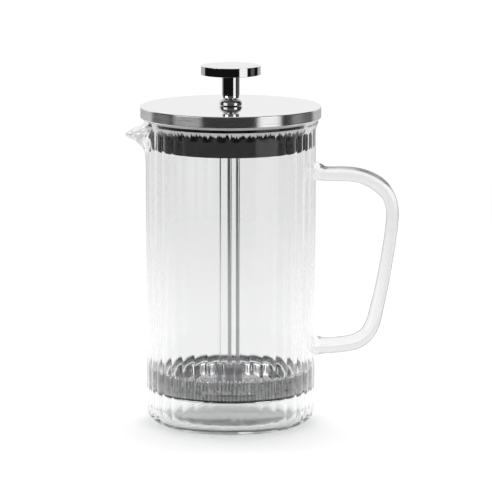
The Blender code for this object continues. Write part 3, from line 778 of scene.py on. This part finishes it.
skin = rounded([(bore, web_low), (bore, web_top), (47.7, web_top), (51.2, 186.2), (51.2, 183.9), (44.0, 183.9), (43.8, 182.7), (CR, 181.0), (CR, 179.5), (CR, 166.5), (CR, CL), (41.7, CL), (41.7, 166.5), (41.7, 179.5), (41.7, 181.0), (41.7, web_low)],
               [0.2, 0.3, 0.4, 0.5, 0.4, 0.3, 0.3, 0, 0, 0, 0.6, 0.5, 0, 0, 0, 0.5], 4)
angles = sorted({round(i * 360 / SEG, 4) for i in range(SEG)} | {round(a + s * 1.05, 4) for a in slots for s in (-1, 1)})
rows = []
for r, z in skin:
    rows.append([bm.verts.new((r * math.cos(math.radians(a)), r * math.sin(math.radians(a)), z)) for a in angles])
n = len(angles)
slot_edge = {}
for k in range(len(rows)):
    kk = (k + 1) % len(rows)
    (r0, z0), (r1, z1) = skin[k], skin[kk]
    wall = abs(r0 - r1) < 1e-6 and {round(z0, 2), round(z1, 2)} == {166.5, 179.5}
    for i in range(n):
        j = (i + 1) % n
        midang = (angles[i] + (angles[j] if j else angles[0] + 360)) / 2
        if wall and in_slot(midang):
            slot_edge.setdefault(("o" if r0 > 42 else "i"), []).append((i, j, k, kk))
            continue
        bm.faces.new((rows[k][i], rows[k][j], rows[kk][j], rows[kk][i]))
outer_cells = {(i, j): (k, kk) for i, j, k, kk in slot_edge["o"]}
inner_cells = {(i, j): (k, kk) for i, j, k, kk in slot_edge["i"]}
for (i, j), (k, kk) in outer_cells.items():
    ik, ikk = inner_cells[(i, j)]
    hi_o, lo_o = (k, kk) if skin[k][1] > skin[kk][1] else (kk, k)
    hi_i, lo_i = (ik, ikk) if skin[ik][1] > skin[ikk][1] else (ikk, ik)
    for o_, i_ in ((hi_o, hi_i), (lo_o, lo_i)):
        bm.faces.new((rows[o_][i], rows[o_][j], rows[i_][j], rows[i_][i]))
    for c, other in ((i, (i - 1) % n), (j, (j + 1) % n)):
        pair = (other, c) if c == i else (c, other)
        if pair not in outer_cells:
            bm.faces.new((rows[hi_o][c], rows[lo_o][c], rows[lo_i][c], rows[hi_i][c]))
collar = link("lid_insert", bm, BLACK, smooth=35)
place(collar, "lid", ["lid_collar"], "black_plastic")

# ------------------------------------------------------------------ rod guide
FR, FZ0, FZ1 = radius_of("guide_ferrule"), low_of("guide_ferrule"), top_of("guide_ferrule")
dome = [(3.3, FZ0 + 2.0), (4.7, FZ0 + 2.0), (4.7, FZ0 + 0.02), (FR - 0.35, FZ0), (FR - 0.1, FZ0 + 0.12), (FR, FZ0 + 0.4)]
dome += [(4.2 + (FR - 4.2) * math.cos(math.radians(a)), FZ0 + 0.7 + (FZ1 - FZ0 - 0.7) * math.sin(math.radians(a))) for a in range(6, 91, 7)]
dome += [(3.9, FZ1), (3.45, FZ1 - 0.06), (3.3, FZ1 - 0.25)]
place(link("guide_dome", lathe(dome, 96), STEEL_DOME), "lid_guide", ["guide_ferrule"], "polished_steel")
bz0, bz1 = low_of("guide_bush"), top_of("guide_bush")
thread = [(3.3, bz0), (4.1, bz0), (4.4, bz0 + 0.3)]
z = bz0 + 0.8
while z < bz1 - 1.2:
    thread += [(4.4, z), (4.15, z + 0.35), (4.4, z + 0.7)]
    z += 0.8
thread += [(4.4, bz1 - 0.2), (4.2, bz1), (3.3, bz1)]
place(link("guide_sleeve", lathe(thread, 72), STEEL_ROD), "lid_guide", ["guide_bush"], "polished_steel")
wz0, wz1 = low_of("guide_washer"), top_of("guide_washer")
place(link("guide_ring", lathe(rounded([(4.7, wz0), (4.7, wz1), (9.5, wz1), (9.5, wz0)], 0.2, 3), 96), STEEL_PLATE), "lid_guide", ["guide_washer"], "steel_wire")


def nut(name, af, hole, z0, z1, mat):
    """A hexagon nut with chamfered corners and a turned bore."""
    bm = bmesh.new()
    seg = 96
    rr = af / 2 / math.cos(math.pi / 6)
    ch = (rr - af / 2) * 0.55

    def hexr(a):
        t = (a + math.pi / 6) % (math.pi / 3) - math.pi / 6
        return af / 2 / math.cos(t)
    levels = [(z0 + 0.25, lambda a: hole), (z0, lambda a: hole + 0.25), (z0, lambda a: af / 2 * 0.98),
              (z0 + ch, lambda a: min(hexr(a), rr)), (z1 - ch, lambda a: min(hexr(a), rr)), (z1, lambda a: af / 2 * 0.98), (z1, lambda a: hole + 0.25), (z1 - 0.25, lambda a: hole)]
    rows = [[bm.verts.new((f(TAU * i / seg) * math.cos(TAU * i / seg), f(TAU * i / seg) * math.sin(TAU * i / seg), z)) for i in range(seg)] for z, f in levels]
    for k in range(len(rows)):
        a, b = rows[k], rows[(k + 1) % len(rows)]
        for i in range(seg):
            j = (i + 1) % seg
            bm.faces.new((a[i], a[j], b[j], b[i]))
    return link(name, bm, mat, smooth=25)


place(nut("guide_hex", 12.0, 4.7, low_of("guide_nut"), top_of("guide_nut"), STEEL_PLATE), "lid_guide", ["guide_nut"], "steel_wire")

# ------------------------------------------------------------------ knob and rod
kz0, kz1, KR = low_of("knob_disc"), top_of("knob_disc"), radius_of("knob_disc")
disc = rounded([(2.1, kz0), (KR, kz0), (KR, kz1), (0, kz1), (0, kz1 - 1.2), (2.1, kz1 - 1.2)], [0.15, 0.2, 0.2, 0, 0, 0], 4)
place(link("knob_plate", lathe(disc, 160), STEEL_KNOB), "plunger", ["knob_disc"], "polished_steel")
sz0, sz1, SR = low_of("knob_stem"), top_of("knob_stem"), radius_of("knob_stem")
stem = rounded([(3.3, sz0), (SR, sz0), (SR, sz1), (2.1, sz1), (2.1, 202.9), (2.7, 202.9), (2.7, 196.5), (3.3, 196.2)], [0.15, 0.55, 0.2, 0.1, 0, 0, 0, 0], 5)
place(link("knob_shank", lathe(stem, 96), STEEL_KNOB), "plunger", ["knob_stem"], "polished_steel")
pz0, pz1 = low_of("knob_stud"), top_of("knob_stud")
pin = [(0, pz0), (1.5, pz0), (1.8, pz0 + 0.3)]
z = pz0 + 0.5
while z < pz1 - 0.9:
    pin += [(1.8, z), (1.62, z + 0.25), (1.8, z + 0.5)]
    z += 0.55
pin += [(1.8, pz1 - 0.2), (1.6, pz1), (0, pz1)]
place(link("knob_pin", lathe(pin, 48), STEEL_PLATE), "plunger", ["knob_stud"], "steel_wire")
rz0, rz1 = low_of("plunger_rod"), top_of("plunger_rod")
rod = [(0, rz0), (2.1, rz0), (2.4, rz0 + 0.3)]
z = rz0 + 0.6
while z < top_of("hub_boss") - 5.8:
    rod += [(2.4, z), (2.2, z + 0.35), (2.4, z + 0.7)]
    z += 0.8
rod += [(2.4, top_of("hub_boss") - 4.4), (3.0, top_of("hub_boss") - 3.8), (3.0, 195.6), (2.4, 196.1), (2.4, rz1 - 0.4), (2.0, rz1), (0, rz1)]
place(link("rod_bar", lathe(rod, 64), STEEL_ROD), "plunger", ["plunger_rod"], "polished_steel")

# ------------------------------------------------------------------ filter pack
hz0, hz1, HR = low_of("hub_boss"), top_of("hub_boss"), radius_of("hub_boss")
boss = rounded([(2.7, hz0), (HR, hz0), (HR, hz1), (3.3, hz1), (3.3, hz1 - 3.9), (2.7, hz1 - 4.6)], [0.15, 0.4, 0.8, 0.2, 0, 0], 5)
place(link("hub_collar", lathe(boss, 96), STEEL_HUB), "plunger", ["hub_boss"], "polished_steel")
z0, z1 = low_of("hub_washer"), top_of("hub_washer")
place(link("hub_ring", lathe(rounded([(2.7, z0), (2.7, z1), (8.4, z1), (8.4, z0)], 0.25, 3), 96), STEEL_PLATE), "plunger", ["hub_washer"], "steel_wire")
place(nut("hub_hex", 10.0, 2.7, low_of("hub_nut"), top_of("hub_nut"), STEEL_PLATE), "plunger", ["hub_nut"], "polished_steel")


def pierced_sheet(name, radii, seg, height, hole, thick, mat, body, nodes, slot):
    """A pressed sheet on a polar grid. height(r) is its lower face, hole(r, deg) says where it is pierced."""
    bm = bmesh.new()
    rows = [[bm.verts.new((r * math.cos(TAU * i / seg), r * math.sin(TAU * i / seg), height(r))) for i in range(seg)] for r in radii]
    for k in range(len(radii) - 1):
        rm = (radii[k] + radii[k + 1]) / 2
        for i in range(seg):
            j = (i + 1) % seg
            if hole(rm, (i + 0.5) * 360 / seg):
                continue
            bm.faces.new((rows[k][i], rows[k + 1][i], rows[k + 1][j], rows[k][j]))
    for v in [v for v in bm.verts if not v.link_faces]:
        bm.verts.remove(v)
    bmesh.ops.recalc_face_normals(bm, faces=bm.faces)
    if sum(f.normal.z for f in bm.faces) < 0:
        bmesh.ops.reverse_faces(bm, faces=bm.faces)
    o = link(name, bm, mat, smooth=0, recalc=False)
    s = o.modifiers.new("thickness", "SOLIDIFY")
    s.thickness, s.offset, s.use_even_offset = thick * MM, 1.0, True
    b = o.modifiers.new("edge", "BEVEL")
    b.width, b.segments, b.limit_method, b.angle_limit = 0.00012, 2, "ANGLE", math.radians(50)
    graph = bpy.context.evaluated_depsgraph_get()
    o.data = bpy.data.meshes.new_from_object(o.evaluated_get(graph))
    o.modifiers.clear()
    o.data.shade_smooth()
    o.data.set_sharp_from_angle(angle=math.radians(38))
    return place(o, body, nodes, slot)


PLATE_Z = low_of("spring_plate")
PLATE_TOP = top_of("spring_plate")


def plate_height(r):
    if r <= 33.0:
        return PLATE_Z
    return PLATE_Z + (PLATE_TOP - 0.8 - PLATE_Z) * ease((r - 33.2) / 2.0)


def ring_slots(r, deg, bands):
    for lo, hi, count, share, phase in bands:
        if lo < r < hi:
            x = (deg * count / 360 + phase) % 1
            return x < share
    return False


plate_bands = ((11.5, 12.9, 8, 0.5, 0.0), (16.0, 17.4, 12, 0.5, 0.25), (20.5, 21.9, 18, 0.5, 0.0), (25.0, 26.4, 22, 0.5, 0.3), (29.3, 30.7, 26, 0.5, 0.1),
               (33.9, 34.7, 72, 0.5, 0.0), (38.9, 40.2, 144, 0.5, 0.0))
radii = [2.7, 4, 6, 8, 10, 11.5, 12.9, 14.4, 16, 17.4, 19, 20.5, 21.9, 23.4, 25, 26.4, 27.8, 29.3, 30.7, 32, 33.2, 33.55, 33.9, 34.3, 34.7, 35.05, 35.4, 37, 38.9, 40.2, 41.0]
pierced_sheet("spring_carrier", radii, 288, plate_height, lambda r, d: ring_slots(r, d, plate_bands), 0.7, STEEL_PLATE, "plunger", ["spring_plate"], "polished_steel")

CZ = low_of("cross_plate")
CROSS_R = radius_of("cross_plate")


cross_bands = ((10.5, 19.0, 4, 0.78, 0.11), (22.5, 30.0, 8, 0.72, 0.14), (32.5, 39.5, 16, 0.66, 0.17))
radii = [2.7, 5, 8, 10.5, 13, 16, 19, 20.5, 22.5, 25, 27.5, 30, 31.2, 32.5, 35, 37.5, 39.5, 41.5, 43.4, 44.2, CROSS_R - 0.15]
pierced_sheet("cross_disc", radii, 240, lambda r: CZ, lambda r, d: ring_slots(r, d, cross_bands), 1.0, STEEL_PLATE, "plunger", ["cross_plate"], "polished_steel")

# coil spring round the rim, wound on a ring
bm = bmesh.new()
TURNS, PER = 120, 12
CR0, CRR, COIL_MID = 41.9, 2.1, top_of("edge_spring") - 2.55
pts = []
for k in range(TURNS * PER):
    big, small = TAU * k / (TURNS * PER), TAU * k / PER
    wob = 1 + 0.03 * math.sin(big * 17) + 0.02 * math.sin(big * 41)
    rr = CR0 + CRR * wob * math.cos(small)
    pts.append((rr * math.cos(big), rr * math.sin(big), COIL_MID + CRR * wob * math.sin(small)))
sweep(bm, pts, 0.40, 6, closed=True)
place(link("edge_coil", bm, STEEL_COIL, smooth=60), "plunger", ["edge_spring"], "steel_wire")

# woven cloth: a thin sheet under the plate turned up outside the coil, with the wires of its wall
MR, MLOW, MTOP = radius_of("filter_mesh"), low_of("filter_mesh"), top_of("filter_mesh")
PLEATS = 132


def pleat(a, z):
    """How far the wall stands in at angle a, in mm: the cloth puckers into pleats where it is turned up."""
    up = ease((z - MLOW - 2.0) / (MTOP - MLOW - 3.0))
    return 0.7 * up * (0.5 - 0.5 * math.cos(PLEATS * a + 0.5 * math.sin(5 * a))) * (1 + 0.25 * math.sin(11 * a))


def frill(a):
    """How much lower than the highest point the cut edge of the cloth is at angle a, in mm."""
    return 0.75 * (0.5 - 0.5 * math.cos(PLEATS * a + 0.5 * math.sin(5 * a))) + 0.3 * abs(math.sin(29 * a)) + 0.25 * abs(math.sin(83 * a))


LIP = MTOP - 0.5
sheet = [(2.7, MLOW), (MR - 1.3, MLOW)] + arc(MR - 1.3, MLOW + 1.2, 1.08, -80, 0, 6)
sheet += [(MR - 0.22, MLOW + 1.2 + (LIP - MLOW - 1.2) * k / 5) for k in range(1, 6)]
sheet += [(MR - 0.36, MLOW + 1.2 + (LIP - MLOW - 1.2) * k / 5) for k in range(5, 0, -1)]
sheet += [(MR - 0.36, MLOW + 1.3)] + arc(MR - 1.3, MLOW + 1.2, 0.9, -10, -80, 5) + [(2.7, MLOW + 0.2)]
bm = lathe(sheet, PLEATS * 4)
for v in bm.verts:
    r, z = math.hypot(v.co.x, v.co.y), v.co.z
    if r > MR - 0.5 and z > MLOW + 1.5:
        a = math.atan2(v.co.y, v.co.x)
        z -= frill(a) * (z - MLOW - 1.2) / (LIP - MLOW - 1.2)
        k = (r - pleat(a, z)) / r
        v.co = (v.co.x * k, v.co.y * k, z)
cloth = link("filter_cloth", bm, STEEL_MESH, smooth=50)
bm = bmesh.new()
WIRES = PLEATS * 3
for i in range(WIRES):
    a = TAU * i / WIRES
    pts = []
    for k in range(7):
        t = k / 6
        z = MLOW + 0.9 + (LIP - MLOW - 0.9 - frill(a) + 0.4 * abs(math.sin(i * 1.7))) * t
        rr = MR - 0.16 + 0.05 * math.sin(math.pi * (k + i)) - pleat(a, z)
        pts.append((rr * math.cos(a), rr * math.sin(a), min(z, MTOP)))
    sweep(bm, pts, 0.11, 4)
HOOPS = 18
for h in range(HOOPS):
    z = MLOW + 1.2 + (LIP - MLOW - 2.2) * h / (HOOPS - 1)
    pts = []
    count = PLEATS * 4
    for k in range(count):
        a = TAU * (k + 0.5) / count
        rr = MR - 0.17 + 0.05 * math.sin(math.pi * (k + h)) - pleat(a, z)
        pts.append((rr * math.cos(a), rr * math.sin(a), z))
    sweep(bm, pts, 0.09, 4, closed=True)
weave = link("filter_weave", bm, STEEL_WIRE, smooth=60)
place(cloth, "plunger", ["filter_mesh"], "steel_wire")
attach(weave, "plunger")

# ------------------------------------------------------------------ floor, light and camera
def floor_material():
    m, nt, p = new_material("studio_floor")
    p.inputs["Base Color"].default_value = (0.93, 0.93, 0.93, 1)
    p.inputs["Roughness"].default_value = 0.9
    p.inputs["Specular IOR Level"].default_value = 0.1
    # it reflects less into the polished metal and through the glass than it shows directly
    path = node(nt, "ShaderNodeLightPath")
    coord = node(nt, "ShaderNodeTexCoord")
    away = node(nt, "ShaderNodeVectorMath", operation="LENGTH")
    nt.links.new(coord.outputs["Object"], away.inputs[0])

    def ramp(value, low, high, a, b):
        s = node(nt, "ShaderNodeMapRange")
        s.inputs["From Min"].default_value, s.inputs["From Max"].default_value = low, high
        s.inputs["To Min"].default_value, s.inputs["To Max"].default_value = a, b
        nt.links.new(value, s.inputs["Value"])
        return s.outputs[0]

    def product(a, b, op="MULTIPLY"):
        s = node(nt, "ShaderNodeMath", operation=op)
        nt.links.new(a, s.inputs[0])
        nt.links.new(b, s.inputs[1])
        return s.outputs[0]

    far = ramp(away.outputs["Value"], 0.075, 0.16, 0.0, 1.0)
    place_xyz = node(nt, "ShaderNodeSeparateXYZ")
    nt.links.new(coord.outputs["Object"], place_xyz.inputs[0])
    front = ramp(place_xyz.outputs["Y"], -0.12, 0.0, 1.0, 0.0)
    shiny = product(product(ramp(path.outputs["Glossy Depth"], 0.4, 0.6, 0.0, 1.0), far), front)
    dim = ramp(path.outputs["Transmission Depth"], 3.4, 3.6, 1 - FLOOR_SHINE[0], 1 - FLOOR_SHINE[1])
    loss = product(shiny, dim)
    through = ramp(path.outputs["Transmission Depth"], 0.4, 0.6, 0.0, 1.0)
    veil = product(through, ramp(away.outputs["Value"], 0.055, 0.16, 1 - FLOOR_THROUGH[0], 1 - FLOOR_THROUGH[1]))
    loss = product(loss, veil, "MAXIMUM")
    level = ramp(loss, 0.0, 1.0, 0.93, 0.0)
    grey = node(nt, "ShaderNodeCombineXYZ")
    for axis in "XYZ":
        nt.links.new(level, grey.inputs[axis])
    nt.links.new(grey.outputs[0], p.inputs["Base Color"])
    mp = node(nt, "ShaderNodeMapping")
    mp.inputs["Scale"].default_value = (1.0, 1.0, 1.0)
    nt.links.new(coord.outputs["Object"], mp.inputs["Vector"])
    length = node(nt, "ShaderNodeVectorMath", operation="LENGTH")
    nt.links.new(mp.outputs[0], length.inputs[0])
    fade = node(nt, "ShaderNodeMapRange", interpolation_type="SMOOTHERSTEP")
    fade.inputs["From Min"].default_value = FLOOR_IN
    fade.inputs["From Max"].default_value = FLOOR_OUT
    fade.inputs["To Min"].default_value, fade.inputs["To Max"].default_value = 0.0, 1.0
    nt.links.new(length.outputs["Value"], fade.inputs["Value"])
    clear = node(nt, "ShaderNodeBsdfTransparent")
    mix = node(nt, "ShaderNodeMixShader")
    nt.links.new(fade.outputs[0], mix.inputs["Fac"])
    nt.links.new(p.outputs[0], mix.inputs[1])
    nt.links.new(clear.outputs[0], mix.inputs[2])
    nt.links.new(mix.outputs[0], nt.nodes["Material Output"].inputs["Surface"])
    return m


FLOOR_IN, FLOOR_OUT = 0.22, 1.15
FLOOR_SHINE, FLOOR_THROUGH = (0.07, 0.42), (1.0, 0.85)
ROOM, BACKDROP, THROUGH, THROUGH_GLOW = 0.009, (0.55, 1.13), (0.97, 1.0, 1.0), 1.06
RIGHT_EDGE, LEFT_EDGE = (124, 134), (116, 124)
PANELS = (((34, 67), (-0.4, 0.3), 1.25), ((38, 63), (0.0, 0.42), 2.6), ((-78, -38), (0.04, 0.42), 2.4), ((-40, 34), (0.12, 0.5), 0.2),
          ((84, 104), (-0.3, 0.4), 0.12), ((-181, 181), (0.55, 1.1), 0.14))
bm = bmesh.new()
bmesh.ops.create_circle(bm, cap_ends=True, segments=128, radius=FLOOR_OUT / MM)
floor = link("floor", bm, floor_material(), smooth=0)
floor.location.z = -0.0002

world = bpy.data.worlds.new("studio")
bpy.context.scene.world = world
world.use_nodes = True
nt = world.node_tree
nt.nodes.clear()
out = node(nt, "ShaderNodeOutputWorld")
seen = node(nt, "ShaderNodeBackground")
seen.inputs["Color"].default_value = (1, 1, 1, 1)
seen.inputs["Strength"].default_value = 1.02
lit = node(nt, "ShaderNodeBackground")
coord = node(nt, "ShaderNodeTexCoord")
sep = node(nt, "ShaderNodeSeparateXYZ")
nt.links.new(coord.outputs["Generated"], sep.inputs[0])


def math_node(op, a, b=None):
    n = node(nt, "ShaderNodeMath", operation=op)
    for k, v in enumerate((a, b)):
        if v is None:
            continue
        if isinstance(v, (int, float)):
            n.inputs[k].default_value = v
        else:
            nt.links.new(v, n.inputs[k])
    return n.outputs[0]


def step_node(value, low, high, a=0.0, b=1.0):
    n = node(nt, "ShaderNodeMapRange", interpolation_type="SMOOTHSTEP")
    n.inputs["From Min"].default_value, n.inputs["From Max"].default_value = low, high
    n.inputs["To Min"].default_value, n.inputs["To Max"].default_value = a, b
    nt.links.new(value, n.inputs["Value"])
    return n.outputs[0]


# azimuth counted from the camera's side towards +X, in degrees
azimuth = math_node("MULTIPLY", math_node("ARCTAN2", sep.outputs["X"], math_node("MULTIPLY", sep.outputs["Y"], -1.0)), 180 / math.pi)
around = math_node("ADD", step_node(azimuth, *RIGHT_EDGE), step_node(azimuth, -LEFT_EDGE[1], -LEFT_EDGE[0], 1.0, 0.0))
backdrop = math_node("MULTIPLY", around, step_node(sep.outputs["Z"], -0.04, 0.03, BACKDROP[0], BACKDROP[1]))


def panel(az, el, glow):
    """A soft panel between two azimuths and two sines of elevation."""
    across = math_node("MULTIPLY", step_node(azimuth, az[0] - 2, az[0] + 2), step_node(azimuth, az[1] - 2, az[1] + 2, 1.0, 0.0))
    up = math_node("MULTIPLY", step_node(sep.outputs["Z"], el[0] - 0.04, el[0] + 0.04), step_node(sep.outputs["Z"], el[1] - 0.04, el[1] + 0.04, 1.0, 0.0))
    return math_node("MULTIPLY", math_node("MULTIPLY", across, up), glow)


total = math_node("ADD", ROOM, backdrop)
for az, el, glow in PANELS:
    total = math_node("MAXIMUM", total, panel(az, el, glow))
# what is seen straight through the glass is the same pale backdrop all round
lp = node(nt, "ShaderNodeLightPath")
glossy = lp.outputs["Glossy Depth"]
crossed = lp.outputs["Transmission Depth"]
direct = math_node("LESS_THAN", glossy, 0.5)
within = math_node("MULTIPLY", math_node("COMPARE", glossy, 1.0), math_node("LESS_THAN", crossed, 2.5))
many = math_node("GREATER_THAN", glossy, 1.5)
weight = math_node("ADD", math_node("MULTIPLY", direct, THROUGH[0]), math_node("ADD", math_node("MULTIPLY", within, THROUGH[1]), math_node("MULTIPLY", many, THROUGH[2])))
still = math_node("LESS_THAN", lp.outputs["Diffuse Depth"], 0.5)
share = math_node("MULTIPLY", math_node("MULTIPLY", weight, still), math_node("GREATER_THAN", crossed, 0.5))
total = math_node("ADD", math_node("MULTIPLY", total, math_node("SUBTRACT", 1.0, share)), math_node("MULTIPLY", share, THROUGH_GLOW))
nt.links.new(total, lit.inputs["Strength"])
mix = node(nt, "ShaderNodeMixShader")
nt.links.new(lp.outputs["Is Camera Ray"], mix.inputs["Fac"])
nt.links.new(lit.outputs[0], mix.inputs[1])
nt.links.new(seen.outputs[0], mix.inputs[2])
nt.links.new(mix.outputs[0], out.inputs["Surface"])


def softbox(name, az, dist, z, w, h, power, camera=False):
    """A rectangular lamp that faces the object from azimuth az, counted from the camera's side towards +X."""
    d = bpy.data.lights.new(name, "AREA")
    d.shape, d.size, d.size_y, d.energy = "RECTANGLE", w, h, power
    o = bpy.data.objects.new(name, d)
    a = math.radians(az)
    o.location = (dist * math.sin(a), -dist * math.cos(a), z)
    o.rotation_euler = (Vector((0, 0, 0.1)) - o.location).to_track_quat("-Z", "Y").to_euler()
    o.visible_camera = camera
    o.visible_glossy = False
    bpy.context.scene.collection.objects.link(o)
    return o


softbox("top", 0, 0.01, 1.9, 1.8, 1.8, 41.0)

cam_data = bpy.data.cameras.new("camera")
cam_data.sensor_width = 36.0
cam_data.lens = 3943.0 / 492.0 * 36.0
cam_data.shift_x = 15.2 / 492.0
cam_data.clip_start, cam_data.clip_end = 0.05, 50
cam = bpy.data.objects.new("camera", cam_data)
bpy.context.scene.collection.objects.link(cam)
cam.location = (0, -2.297, 0.4784)
tilt = Matrix.Rotation(math.radians(90 - 9.23), 4, "X") @ Matrix.Rotation(math.radians(0.0), 4, "Z")
cam.rotation_euler = tilt.to_euler()
bpy.context.scene.camera = cam
bpy.context.scene.view_settings.view_transform = "Standard"
